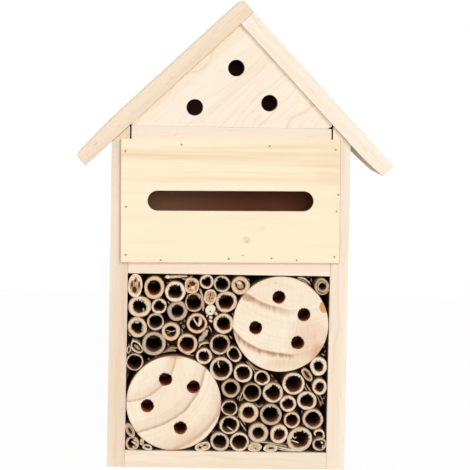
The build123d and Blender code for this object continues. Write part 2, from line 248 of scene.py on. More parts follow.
# Each board: its wood's name, the grain's angle, three tints, where in the noise its plank lies,
# and then its contrast, its painted shade inside the rooms and the curl of its lines where they
# aren't the usual ones
boards = {
    "left_side_wall": ("left_wall_wood", upright, "#f2e2ce", "#e8d0b6", "#cfad8a", 0.3, 1.45, 0.8),
    "right_side_wall": ("right_wall_wood", upright, "#fdf1e0", "#f5e1cb", "#e2c7a8", 1.3, 1.2, 0.8),
    "floor_board": ("floor_wood", 0.0, "#f4e4cf", "#efd8bc", "#e0be98", 2.1, 1.0, 0.8),
    "middle_shelf": ("shelf_wood", 0.0, "#fbecdb", "#f5e0ca", "#e6ccac", 3.3, 1.0, 0.8),
    "attic_floor": ("attic_floor_wood", 0.0, "#f4e7d8", "#f0dcc9", "#e6cbb0", 4.2, 0.8, 0.8),
    "front_gable": ("gable_wood", left_grain, "#fdefdd", "#f6e2ca", "#dec09c", 5.9, 0.9, 0.0, 1.5),
    "left_roof_board": ("left_roof_wood", left_grain, "#f3e1c9", "#efd3b3", "#dab993", 6.4, 0.8),
    "right_roof_board": ("right_roof_wood", right_grain, "#fcf2e2", "#f8e8d2", "#e8d2b0", 7.7),
}
finishes = {node: planed_wood(*look) for node, look in boards.items()}
print("Mixed", len(finishes), "board finishes")

# %% [markdown]
# ## Plywood faces
# The front panel is thin rotary-cut plywood. Its veneer shows long level streaks, darker in a band
# above the slot, a few pink specks, and a painted shadow line down each side. The back panel is
# plywood too: plain outside, and redder on the face that looks into the rooms, where painted shade
# darkens it the further right and up in the attic. Both are flat sheets, so the pattern alone makes
# them.

# %% Panel finishes
def back_veneer():
    """Plain plywood outside, and inside a redder face, with painted shade darker the further right and in the
    attic.
    """
    ply = Finish("back_plywood")
    plain = ply.noise(ply.turned(upright, (5, 50, 260)), detail=4)
    outer = ply.tinted("#ecd6b4", (plain, 0.4, 0.75, 1, "#d9b98c"))
    cloud = ply.noise(ply.place, 25, detail=1) * 20
    attic, inner_face = 190, reach("back_panel")[0][1]
    # Painted shade: the inner face darkens towards the right and up in the attic
    inner_face_and_shade = ply.tinted(
        "#eeae80",
        (ply.along("X") + cloud, -35, 30, 1, "#ca7856"), (ply.along("Z"), attic, attic + 20, 1, "#8c5a44"))
    beside = ply.step(ply.maths("ABSOLUTE", ply.along("X")), inner_half, inner_half + 0.5)
    rear = ply.step(ply.along("Y"), inner_face + 1.2, inner_face + 2.2)
    colour = ply.mix(ply.maths("MAXIMUM", beside, rear), inner_face_and_shade, outer)
    return ply.done(colour, plain * 0.1 + 0.6, plain, 0.0001)


# Pink specks and stains on the front panel: middle and half sizes in X and Z, and strength
stains = (
    ((10, 137.8), (2.6, 2.2), 0.35), ((10.6, 137.2), (0.9, 0.6), 0.5), ((7.6, 128.6), (1.3, 0.5), 0.6),
    ((19.3, 145.1), (2.6, 2), 0.12), ((57.1, 178.3), (7, 2.2), 0.12), ((-6, 159.5), (0.9, 0.9), 0.3),
)
# How far the panel is turned and, once it is turned back, its middle and half its width
panel_askew, panel_middle, panel_half = math.radians(0.7), 1.96, 65.4


def face_veneer():
    """Level streaks whose strength swells in a band near the top of the panel."""
    ply = Finish("face_plywood")
    level = ply.along("Z") + ply.noise(ply.turned(0.0, (14, 1, 30)), detail=1) * 10
    foot, top, soft = 172, 206, 10
    band = ply.step(level, foot, foot + soft) * (1 - ply.step(level, top - soft, top))
    streaks = ply.noise(ply.turned(0.01, (5, 40, 200), (0.4, 0, 0.1)), detail=3, roughness=0.55)
    cloud = ply.noise(ply.turned(0.0, (12, 1, 45), (2.0, 0, 0)))
    fibres = ply.noise(ply.turned(0.0, (45, 900, 1500)))
    blush = ply.step(level, foot, foot + 12) * cloud * 0.35
    colour = ply.tinted(
        "#fcedcf",
        (cloud, 0.4, 0.8, 0.5, "#fae4c2"), (streaks, 0.42, 0.72, band * 0.55 + 0.14, "#ebcaa2"),
        (ply.along("X"), 40, 64, blush, "#f0cba6"), (fibres, 0.52, 0.8, 0.14, "#dcb98c"))
    ragged = ply.noise(ply.place, 300) * 1.2 - 0.6
    for middle, half, share in stains:
        near = 1 - ply.step(ply.oval(middle, half) + ragged, 0.0, 1.4)
        colour = ply.mix(near * share, colour, "#dc9a74")
    # Painted shadow: a darker line down each side of the panel
    square = ply.node("SeparateXYZ", {"Vector": ply.turned(panel_askew)}, output="X") * 1000
    sawn = ply.maths("ABSOLUTE", square - panel_middle)
    colour = ply.tinted(colour, (sawn, panel_half - 0.5, panel_half, 0.6, "#b79a72"))
    return ply.done(colour, fibres * 0.1 + 0.52, streaks * 0.4 + fibres * 0.6, 0.0001)


finishes["front_panel"], finishes["back_panel"] = face_veneer(), back_veneer()
print("Mixed the plywoods")

# %% [markdown]
# ## Pins
# The pins are headless wire, driven flush. They are bright steel gone brown with damp, too small to
# need more than a mottled metal.

# %% Pin finish
def rusty_wire():
    """Two browns patched by a fine noise, a third of it metal."""
    wire = Finish("rusty_pin_wire")
    patches = wire.noise(wire.place, 1400)
    colour = wire.tinted("#9c7c54", (patches, 0.4, 0.6, 1, "#bb9c74"))
    wire.fill(wire.shader, {"Metallic": 0.3})
    return wire.done(colour, patches * 0.3 + 0.45, patches, 0.00004)


pin_sets = ("panel_pins", "wall_pins", "back_pins", "roof_pins")
finishes.update(dict.fromkeys(pin_sets, rusty_wire()))
print("Mixed the pin wire")

# %% [markdown]
# ## Skins made of rings
# Every new piece here is one closed skin. It is built from rings of points: neighbouring rings are
# bridged with four-sided faces, and a flat or blind end is closed with a fan. A ring is a whole
# numpy array, and can carry numbers for the finish, such as how deep in a bore it lies. Measures
# are millimetres until the last step.

# %% Ring builder
class Skin:
    """Rings of points, the faces between them, and the numbers that the points carry."""

    def __init__(self, **plain):
        self.points, self.faces, self.count = [], [], 0
        self.plain = plain
        self.carried = {name: [] for name in plain}

    def ring(self, x, y, z, **values):
        """Adds points whose coordinates are arrays or single numbers, and returns their numbers."""
        points = np.stack(np.broadcast_arrays(x, y, z), -1).reshape(-1, 3).astype(float)
        self.points.append(points)
        for name, usual in self.plain.items():
            value = values.get(name, usual)
            self.carried[name].append(np.broadcast_to(value, len(points)).astype(float))
        numbers = np.arange(self.count, self.count + len(points))
        self.count += len(points)
        return numbers

    def circle(self, middle, size, angle, y, **values):
        """A ring about a middle in X and Z: its size at each angle, times the cosine and the sine."""
        return self.ring(middle[0] + size * np.cos(angle), y, middle[1] + size * np.sin(angle), **values)

    def bridge(self, one, two):
        """Four-sided faces between two rings of the same size."""
        quads = np.stack([one, np.roll(one, -1), np.roll(two, -1), two], 1)
        self.faces += quads.tolist()

    def fan(self, ring, x, y, z, **values):
        """Closes a ring with triangles that meet at a new point."""
        tip = np.full(len(ring), self.ring(x, y, z, **values)[0])
        self.faces += np.stack([ring, np.roll(ring, -1), tip], 1).tolist()

    def stack(self, rings):
        """Bridges each ring to the next."""
        for one, two in zip(rings, rings[1:]):
            self.bridge(one, two)


def enclosed(points, faces):
    """The volume inside: a sixth of the sum of each triangle's triple product."""
    corners = np.array([(f[0], a, b) for f in faces for a, b in zip(f[1:], f[2:])])
    a, b, c = (points[corners[:, i]] for i in range(3))
    return np.einsum("ij,ij->i", a, np.cross(b, c)).sum() / 6

def placed(name, data):
    """A new object in the scene that shows the data."""
    made = bpy.data.objects.new(name, data)
    scene.collection.objects.link(made)
    return made


# Edges that bend more than this stay crisp
crease = math.radians(40)


def finished(name, skin, material, slot, *nodes):
    """Turns a skin into an object whose faces look outwards, and seats it on the frame."""
    points = np.concatenate(skin.points) / 1000
    faces = skin.faces
    if enclosed(points - points.mean(0), faces) < 0:
        faces = [face[::-1] for face in faces]
    mesh = bpy.data.meshes.new(name)
    mesh.from_pydata(points.tolist(), [], faces)
    for label, parts in skin.carried.items():
        layer = mesh.attributes.new(label, "FLOAT", "POINT")
        layer.data.foreach_set("value", np.concatenate(parts).astype(np.float32))
    mesh.shade_smooth()
    mesh.set_sharp_from_angle(angle=crease)
    mesh.materials.append(material)
    piece = placed(name, mesh)
    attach(piece, "root")
    if nodes:
        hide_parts(*nodes)


print("Rings can be bridged and closed")

# %% [markdown]
# ## Boards with worn arrises
# A planed board never keeps a knife edge. Its outline is walked in small steps, each corner is
# turned with a tight arc, and the outline is drawn in as it nears either face, on a quarter round.
# The saw also leaves the edge a hair short here and there, so the outline is drawn in by a slow
# random wave. A bevel modifier could round the edges, but not make them wander.

# %% Board builder
def waves(where, seed, longest, shortest, count=9):
    """A smooth random value from -1 to 1: sines of seeded lengths, turns and phases, added up."""
    luck = np.random.default_rng(seed)
    where = np.asarray(where, float)
    where = where.reshape(len(where), -1)
    lengths = np.exp(luck.uniform(np.log(shortest), np.log(longest), count))
    turns = luck.normal(size=(count, where.shape[1]))
    turns /= np.linalg.norm(turns, axis=1, keepdims=True)
    phase = luck.uniform(0, 2 * np.pi, count)
    return np.sin(2 * np.pi * where @ (turns / lengths[:, None]).T + phase).sum(1) / math.sqrt(count * 2)


def unit(angle):
    """Points on a circle of radius 1, one for each angle."""
    return np.stack([np.cos(angle), np.sin(angle)], 1)


def walked(corners, turn, spacing=2.0):
    """A polygon's outline in even steps, with each corner cut by an arc, and its outward normals."""
    corners = np.array(corners, float)
    (x, z), (next_x, next_z) = corners.T, np.roll(corners, -1, 0).T
    corners = corners if np.sum(x * next_z - z * next_x) > 0 else corners[::-1]
    points, normals = [], []
    for here, last, following in zip(corners, np.roll(corners, 1, 0), np.roll(corners, -1, 0)):
        into = (here - last) / np.linalg.norm(here - last)
        out = (following - here) / np.linalg.norm(following - here)
        start, end = np.arctan2(-into[0], into[1]), np.arctan2(-out[0], out[1])
        end = start + (end - start) % (2 * np.pi)
        angles = np.linspace(start, end, 5)
        normal = unit(angles)
        arc_start = here - into * turn * math.tan((end - start) / 2)
        centre = arc_start - normal[0] * turn
        points.append(centre + normal * turn)
        normals.append(normal)
        side = following - here
        steps = max(int(np.linalg.norm(side) / spacing), 2)
        share = (np.arange(1, steps) / steps)[:, None]
        points.append(here + side * share)
        normals.append(np.tile(normal[-1], (steps - 1, 1)))
    return np.concatenate(points), np.concatenate(normals)


def planed_board(name, corners, front, back, slot, node, seed, arris=0.25, wander=0.08):
    """Rings of the outline, drawn in by a quarter round at each face and by a slow random wave."""
    outline, normals = walked(corners, arris + wander + 0.1)
    drawn = wander * (1 + waves(outline, seed, 90, 9)) / 2
    middle = (outline.min(0) + outline.max(0)) / 2
    # Each ring's inset, its depth and how far out it lies: two on the flat face, then the round
    steps = [(arris + 0.05, 0.0, 0.4), (arris + 0.05, 0.0, 1.0)]
    for turn in np.linspace(0, math.pi / 2, 5):
        steps.append((arris * (1 - math.sin(turn)), arris * (1 - math.cos(turn)), 1.0))
    # Points under the eaves, which the finish paints darker as shade
    eaves = (normals[:, 1] < -0.3) * (np.abs(outline[:, 0]) > outer_half + 0.7)
    skin = Skin(under=0.0)
    rings = []
    for face, way in ((front, 1), (back, -1)):
        for inset, depth, share in steps[::way]:
            edge = middle + (outline - normals * (inset + drawn)[:, None] - middle) * share
            rings.append(skin.ring(edge[:, 0], face + way * depth, edge[:, 1], under=eaves * (depth > 0)))
    skin.stack(rings)
    for ring, face in ((rings[0], front), (rings[-1], back)):
        skin.fan(ring, middle[0], face, middle[1])
    finished(name, skin, finishes[node], slot, node)


def corner_points(node):
    """The node's own points in millimetres."""
    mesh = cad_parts[node].data
    flat = np.zeros(len(mesh.vertices) * 3, np.float32)
    mesh.vertices.foreach_get("co", flat)
    return flat.reshape(-1, 3).astype(float) * 1000


def front_corners(node, apart=0.3):
    """The corners of a board seen from the front: the points that reach farthest each way."""
    points = corner_points(node)[:, [0, 2]]
    angle = np.radians(np.arange(0.5, 360, 1.0))
    corners = points[(points @ unit(angle).T).argmax(0)]
    moved = np.linalg.norm(corners - np.roll(corners, 1, 0), axis=1) > apart
    return corners[moved]


print("Boards can be planed")

# %% [markdown]
# ## The body
# The two side walls run from the ground to the roof, with their tops planed to its slopes. The
# floor, the shelf and the attic floor stand between them. The left wall's top is left a hair low,
# which shows as a thin dark line under the roof board, as on the real house.

# %% Walls and level boards
# Each board, and how far its top is left low
shortfalls = {
    "left_side_wall": 0.12, "right_side_wall": 0.05, "floor_board": 0, "middle_shelf": 0, "attic_floor": 0}
for seed, (node, short) in enumerate(shortfalls.items(), 3):
    low, high = reach(node)
    corners = front_corners(node)
    corners[corners[:, 1] > high[2] / 2, 1] -= short
    planed_board(node + "_planed", corners, low[1], high[1], "wall_wood", node, seed)
print("Planed two walls and three level boards")

# %% [markdown]
# ## The roof boards
# Both roof boards are planks that run over the walls and meet at the ridge, where the left one
# covers the end of the right one. Both are worn thin at the eaves. In the solids the worn part
# starts at a corner. Real wear starts softly, so the corner is swapped for a curve. The arrises are
# rounder than the body's, from handling.

# %% Roof boards
def eased(corners, share=0.45):
    """The flattest corner becomes a quadratic curve that starts and ends part way along its sides."""
    sides = []
    for way in (1, -1):
        side = corners - np.roll(corners, way, 0)
        sides.append(side / np.linalg.norm(side, axis=1)[:, None])
    flattest = int(np.argmin((sides[0] * sides[1]).sum(1)))
    here = corners[flattest]
    beside = (corners[flattest - 1], corners[(flattest + 1) % len(corners)])
    length = share * min(np.linalg.norm(here - corner) for corner in beside)
    before, after = here - length * sides[0][flattest], here - length * sides[1][flattest]
    t = np.linspace(0, 1, 9)[:, None]
    curve = (1 - t) ** 2 * before + 2 * t * (1 - t) * here + t ** 2 * after
    return np.concatenate([corners[:flattest], curve, corners[flattest + 1:]])


for seed, node in ((21, "left_roof_board"), (22, "right_roof_board")):
    low, high = reach(node)
    corners = eased(front_corners(node))
    planed_board(node + "_sawn", corners, low[1], high[1], "roof_wood", node, seed, arris=0.28, wander=0.06)
print("Sawed the roof boards")

# %% [markdown]
# ## Log ends
# Each log is a round of pine, sawn across, with four nest holes bored from the front. A disc with
# four ragged holes is hard to cut cleanly with a boolean. Instead a square net of points is pressed
# into the disc, a block of its cells is taken out round each hole, and rings lead from the block's
# border to the hole's torn rim, down its wall and to its blind end. The growth rings are arcs, and
# each has a middle and a radius of its own, as in a bent trunk. Damp and resin have left soft
# patches between them.

# %% Log finish
def log_wood(name, growth, patches, hairy):
    """Growth rings about their own middles: each starts at once, then runs out in streaks and pales."""
    wood = Finish(name)
    bend = (wood.noise(wood.place, 34) - 0.5) * 5
    patchy = wood.noise(wood.place, 45)
    streak = wood.noise(wood.turned(0.02, (460, 60, 42)), detail=3)
    saw = wood.noise(wood.turned(0.02, (900, 60, 120)), detail=3)
    colour = wood.tinted("#f9ead4", (patchy, 0.35, 0.75, 0.7, "#f2dec2"), (saw, 0.48, 0.75, 0.36, "#e4ccac"))
    for centre, radius, inside, outside, strength, faded_from, faded_to in growth:
        distance = wood.maths("SQRT", wood.oval(centre, (1, 1))) + bend
        rise = wood.step(distance, radius - inside, radius)
        fall = 1 - wood.step(distance - (streak - 0.5) * hairy, radius, radius + outside)
        fade = 1.1 - wood.step(wood.along("X"), faded_from, faded_to)
        ring = rise * fall * (streak * 0.8 + 0.5) * fade * strength
        colour = wood.mix(wood.maths("MINIMUM", ring, 1.0), colour, "#bd8c6a")
        colour = wood.tinted(colour, (ring, 0.6, 1.1, 0.4, "#94644a"))
    # Faint rings about the last middle
    faint = wood.noise(wood.node("CombineXYZ", {"X": distance}), 0.42)
    colour = wood.tinted(colour, (faint, 0.45, 0.7, 0.22, "#e6caa6"))
    for middle, half, soft, tint, strength in patches:
        near = 1 - wood.step(wood.oval(middle, half) + (patchy - 0.5) * soft, 1 - 1.1 * soft, 1.1)
        colour = wood.mix(near * (saw * 0.8 + 0.6) * strength, colour, tint)
    deep, side = wood.value("deep"), wood.value("side")
    bark = wood.mix(wood.noise(wood.turned(0, (300, 30, 300)), detail=3), "#d9b78a", "#b58a5c")
    # The hole walls are redder than the face and painted darker with depth as the shade in the holes
    colour = wood.tinted(
        colour, (deep, 0.0, 0.03, 1, "#dca274"), (deep, 0.02, 0.30, 1, "#cc7048"),
        (deep, 0.25, 0.95, 1, "#aa583c"), (side, 0.2, 0.9, 1, bark))
    grit = wood.noise(wood.place, 900, detail=3)
    return wood.done(colour, grit * 0.15 + 0.6, grit + streak * 0.5, 0.00016)


# Each growth ring: its middle and radius, how far it spreads inside and outside, its strength, and
# between which places to the right it fades away
upper_growth = (
    ((34.2, 109.1), 40.2, 1.3, 3.4, 0.9, 36, 44), ((38.8, 142.2), 47, 1.4, 4, 0.75, 22, 46),
)
lower_growth = (
    ((-44.7, 52.5), 43.9, 2.6, 1.2, 0.55, 90, 99), ((-44.7, 52.5), 43, 9, 3, 0.25, 90, 99),
    ((-61.5, 69), 30.2, 1.8, 0.8, 0.55, 90, 99), ((-61.5, 69), 29.4, 9, 1, 0.2, 90, 99),
    ((-60.7, 69.9), 50, 2, 0.8, 0.65, 90, 99), ((-60.7, 69.9), 49.2, 9, 1, 0.2, 90, 99),
)
# Each patch: its middle and half sizes, how soft its edge is, its tint and its strength
upper_patches = (
    ((50, 75), (16, 20), 1, "#dba482", 0.4), ((54.5, 69), (6, 9), 0.8, "#d39668", 0.55),
    ((57.2, 98), (2.7, 3.8), 0.3, "#dba060", 0.95), ((12, 102.6), (5, 2.6), 1, "#c08a62", 0.7),
    ((27.9, 112), (0.6, 0.8), 1, "#a89a8c", 0.5), ((33, 63.5), (14, 4), 1, "#e2bf9a", 0.5),
)
lower_patches = (
    ((-22, 16), (10, 6), 1, "#e2bf9a", 0.4), ((-31, 66.4), (5, 1.6), 1, "#cf9a72", 0.8),
)
upper_wood = log_wood("upper_log_wood", upper_growth, upper_patches, 4.5)
lower_wood = log_wood("lower_log_wood", lower_growth, lower_patches, 0.8)
print("Mixed two log finishes with", len(upper_growth), "and", len(lower_growth), "growth rings")


# %% Log builder
def torn(angle, seed, amount, teeth=17):
    """How far a torn rim strays: small even scallops that are strongest at the top, and a slow wave."""
    luck = np.random.default_rng(seed)
    round_it = unit(angle)
    slow = waves(round_it, seed, 2.5, 0.9)
    phase = luck.uniform(0, 2 * np.pi)
    scallop = np.abs(np.sin(angle * teeth / 2 + phase + 0.8 * slow)) - 0.6
    fine = waves(round_it, seed + 7, 0.5, 0.16)
    top = 0.25 + 0.75 * np.clip(np.sin(angle) + 0.35, 0, 1)
    return amount * (0.35 * slow + (0.9 * scallop + 0.5 * fine) * top)


def border_of(net):
    """The numbers round a net's border, in order."""
    return np.concatenate([net[:-1, 0], net[-1, :-1], net[:0:-1, -1], net[0, :0:-1]])


def bearings(points, middle):
    """The angle of each point about a middle in X and Z."""
    return np.arctan2(points[:, 2] - middle[1], points[:, 0] - middle[0])


# The nest holes' radius and depth, how far in and out their rims are torn, and half the width of
# the block of cells that each takes out of a net of so many cells
hole_radius, hole_depth, torn_depth, torn_by, block_half, cells = 4.0, 47, 3.0, 0.55, 6.6, 84


def cut_log(node, hole_shares, material, seed):
    """A net pressed into a disc, with a ringed hole in place of each taken block."""
    low, high = reach(node)
    radius = (high[0] - low[0]) / 2
    centre = (low + high) / 2
    s, t = np.meshgrid(np.linspace(-1, 1, cells + 1), np.linspace(-1, 1, cells + 1), indexing="ij")
    face_radius = radius - 0.7
    x = centre[0] + face_radius * s * np.sqrt(1 - t * t / 2)
    z = centre[2] + face_radius * t * np.sqrt(1 - s * s / 2)
    rough = 0.10 * waves(np.stack([x.ravel(), z.ravel()], 1), seed, 14, 1.2, 16)
    skin = Skin(deep=0.0, side=0.0)
    net = skin.ring(x.ravel(), low[1] + 0.12 + rough, z.ravel()).reshape(x.shape)
    kept = np.ones((cells, cells), bool)
    half = int(round(block_half / radius * cells / 2))
    for number, (right_share, up_share) in enumerate(hole_shares):
        hole = (centre[0] + right_share * radius, centre[2] + up_share * radius)
        i, j = np.unravel_index(((x - hole[0]) ** 2 + (z - hole[1]) ** 2).argmin(), x.shape)
        kept[i - half:i + half, j - half:j + half] = False
        border = border_of(net[i - half:i + half + 1, j - half:j + half + 1])
        edge = skin.points[0][border]
        angle = bearings(edge, hole)
        rim = hole_radius + torn(angle, seed * 10 + number, torn_by)
        rings = [border]
        for share in (0.3, 0.6, 0.85, 1.0):
            size = rim + 0.12 * (share < 1)
            px = edge[:, 0] * (1 - share) + (hole[0] + size * np.cos(angle)) * share
            pz = edge[:, 2] * (1 - share) + (hole[1] + size * np.sin(angle)) * share
            rings.append(skin.ring(px, edge[:, 1], pz))
        for depth in (0.5, 1.4, 3.5, 9, 22, hole_depth):
            size = hole_radius + (rim - hole_radius) * max(1 - depth / torn_depth, 0)
            rings.append(skin.circle(hole, size, angle, low[1] + depth, deep=depth / hole_depth + 0.004))
        skin.stack(rings)
        skin.fan(rings[-1], hole[0], low[1] + hole_depth, hole[1], deep=1.0)
    quads = np.stack([net[:-1, :-1], net[1:, :-1], net[1:, 1:], net[:-1, 1:]], -1)
    skin.faces += quads[kept][:, ::-1].tolist()
    border = border_of(net)
    middle = centre[[0, 2]]
    angle = bearings(skin.points[0][border], middle)
    flat = radius - 0.22 * (1 + waves(unit(angle), seed + 3, 2.0, 0.3)) / 2
    # Each ring of the side: how far in it lies, its place from front to back, and its share of bark
    rings = [border]
    for inset, y, side in (
            (0.3, low[1] + 0.25, 0.0), (0.05, low[1] + 0.7, 0.6), (0.0, low[1] + 2, 1.0),
            (0.0, high[1] - 0.6, 1.0), (0.5, high[1], 1.0)):
        rings.append(skin.circle(middle, flat - inset, angle, y, side=side))
    skin.stack(rings)
    skin.fan(rings[-1], middle[0], high[1], middle[1], side=1.0)
    finished(node + "_sawn", skin, material, "log_wood", node)


# Each hole's middle to the right of the log's middle and above it, as shares of the log's radius
upper_hole_shares = ((-0.05, 0.57), (0.48, 0.21), (-0.52, -0.08), (0.36, -0.38))
lower_hole_shares = ((-0.18, 0.50), (0.41, 0.35), (-0.55, -0.06), (0.15, -0.52))
cut_log("upper_log", upper_hole_shares, upper_wood, 31)
cut_log("lower_log", lower_hole_shares, lower_wood, 32)
print("Sawed two logs with", len(upper_hole_shares), "and", len(lower_hole_shares), "holes")

# %% [markdown]
# ## Canes
# A cane is a hollow grass stem: a thin skin, a pale woody wall, and a bore that a blunt saw leaves
# ragged. Each is a closed tube whose rings go along the skin, over the cut face and back through
# the bore. Its front end leans a hair from the place of its back end, as in any hand-packed
# bundle. The finish reads how near the skin a point is, whether it lies in the bore, and how grey
# or how orange the whole cane has gone. Depth comes from the place itself: the bores and the gaps
# are painted darker from front to back, as the shade deep in the packed room.

# %% Cane finish
shade_start = wall_front + 2.8


def behind(finish):
    """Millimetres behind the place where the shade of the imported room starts."""
    return finish.along("Y") - shade_start


def cane_wood():
    """Cream wall, tan towards the skin and brown towards the bore, and painted shade that darkens skin and
    bore with depth.
    """
    cane = Finish("cut_cane")
    ring, bore, grey, warm = (cane.value(name) for name in ("ring", "bore", "grey", "warm"))
    depth = behind(cane)
    bundles = cane.noise(cane.place, 1400)
    cloud = cane.noise(cane.place, 300)
    sweep = cane.noise(cane.place, 120, detail=1)
    inside = 1 - cane.step(ring + (cloud - 0.5) * 0.4, 0.0, 0.42)
    wall = cane.tinted(
        cane.mix(warm, cane.mix(grey, "#f7ebda", "#b4a690"), "#e5c199"),
        (sweep, 0.46, 0.66, 0.5, "#e2bfa2"), (bundles, 0.48, 0.72, 0.6, cane.mix(grey, "#ccac84", "#a5937a")),
        (cloud, 0.45, 0.75, 0.45, cane.mix(grey, "#dec29e", "#a59478")))
    wall = cane.mix(inside * 0.66, wall, cane.mix(grey, "#ac825e", "#958266"))
    wall = cane.tinted(wall, (ring, 0.62, 0.95, 0.7, cane.mix(grey, "#c99e74", "#9c8a72")))
    streak = cane.noise(cane.turned(0.0, (900, 14, 900)), detail=3)
    # Painted shade: the skin darkens with depth behind the cut ends, as in the gaps of the packed room
    hide = cane.tinted(
        cane.mix(grey * 0.5, cane.mix(streak, "#d8b48a", "#a27c58"), "#8d7e6a"),
        (depth, 1, 12, 1, "#bc8c6a"), (depth, 10, 50, 1, "#b47c60"))
    # Painted shade: the bore's pith darkens with depth, as deep in the bore
    middle_bore_shade = cane.mix(warm, cane.mix(grey, "#a8684a", "#5e3e2c"), "#a4522e")
    pith_and_shade = cane.tinted(
        cane.mix(warm, "#b88a62", "#c47c46"),
        (depth, 1, 22, 1, middle_bore_shade), (depth, 18, 66, 1, cane.mix(grey, "#8c5238", "#3c2418")))
    colour = cane.tinted(wall, (ring, 0.94, 1.0, 1, hide), (bore, 0.1, 1.0, 1, pith_and_shade))
    return cane.done(colour, bundles * 0.2 + 0.5, bundles + streak * 0.5, 0.00012)


cut_cane = cane_wood()
print("Mixed the cane finish")


# %% Cane builder
def cane_skin(skin, tube, look, seed):
    """Rings round a long ring-shaped tube: skin, cut face, torn bore edge, bore, and back to the skin."""
    x, z, radius, hollow, front, back = tube
    (grey, warm), ragged, lean_x, lean_z, stretch, tilt, opened = (*look, 0, 0, 0)[:7]
    angle = np.linspace(0, 2 * np.pi, 64, endpoint=False)
    round_it = unit(angle)
    oval = stretch * np.cos(2 * (angle - math.radians(tilt)))
    bumps = 0.03 * waves(round_it, seed, 3.0, 0.9) + 0.012 * waves(round_it, seed + 9, 0.7, 0.3)
    outer = radius * (1.0 + oval + bumps)
    inner = (hollow + opened) * (1 + 0.7 * oval + 0.05 * waves(round_it, seed + 1, 3, 0.8))
    rim = np.minimum(inner + torn(angle, seed + 2, 0.15 + 1.05 * ragged), outer - 0.5)
    lift = 0.16 * waves(round_it, seed + 4, 1.2, 0.2)
    front = front + 0.35 * waves(np.array([[seed * 1.7]]), 3, 9, 2)[0]
    # Each ring's size, its place from front to back, how near the skin it lies, and if in the bore
    rows = [(outer - 0.25, back, 1, 0), (outer - 0.1, front + 9, 1, 0), (outer, front + 0.45, 1, 0)]
    worn = outer - 0.14
    rows.append((worn, front + 0.06 + 0.3 * (lift + 0.16), 0.93, 0))
    for share in (0.25, 0.5, 0.75):
        rows.append((worn - (worn - rim) * share, front + 0.16 + lift, 1 - share, 0))
    rows.append((rim, front + 0.24 + lift, 0, 0))
    for depth, tear in ((0.5, 0.9), (1.1, 0.6), (2.2, 0.2), (5, 0), (11, 0), (24, 0), (45, 0)):
        rows.append((inner + (rim - inner) * tear, front + depth, 0, 1))
    rows.append((inner, back, 0, 1))
    rings = []
    for size, y, near, inward in rows:
        lean = 1 - (np.mean(y) - front) / (back - front)
        middle = (x + lean_x * lean, z + lean_z * lean)
        rings.append(skin.circle(middle, size, angle, y, ring=near, bore=inward, grey=grey, warm=warm))
    skin.stack(rings + [rings[0]])


def round_parts(node):
    """The separate solids of a node: each point takes the lowest number among its neighbours."""
    points = corner_points(node)
    _, same = np.unique(np.round(points, 3), axis=0, return_inverse=True)
    same = same.ravel()
    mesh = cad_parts[node].data
    pairs = np.zeros(len(mesh.edges) * 2, np.int32)
    mesh.edges.foreach_get("vertices", pairs)
    one, two = same[pairs.reshape(-1, 2)].T
    label, changed = None, np.arange(same.max() + 1)
    while label is None or (changed != label).any():
        label = changed
        changed = label.copy()
        for here, there in ((one, two), (two, one)):
            np.minimum.at(changed, here, label[there])
    return [points[label[same] == k] for k in np.unique(label)]


def tube_size(points):
    """A tube's middle, outer radius, bore radius, front and back, from its own points."""
    middle = (points.min(0) + points.max(0)) / 2
    far = np.hypot(points[:, 0] - middle[0], points[:, 2] - middle[2])
    return middle[0], middle[2], far.max(), far.min(), points[:, 1].min(), points[:, 1].max()


print("Stems can be cut")

# %% [markdown]
# ## How each stem has aged
# Stems that are cut together don't age alike. Each age is a pair of numbers, how grey and how orange
# the wall is, and goes by a name. The names were given one cane after another. A random age
# for each would be shorter to write, but it would stir the pale and the grey ones evenly, and in
# this bundle they lie in groups.

# %% Canes
fresh, cream, dull, straw, ashen = (0.0, 0.0), (0.1, 0.1), (0.3, 0.0), (0.5, 0.1), (0.8, 0.0)
honey, orange, old, stained = (0.1, 0.4), (0.1, 0.7), (0.9, 0.3), (1.0, 0.7)
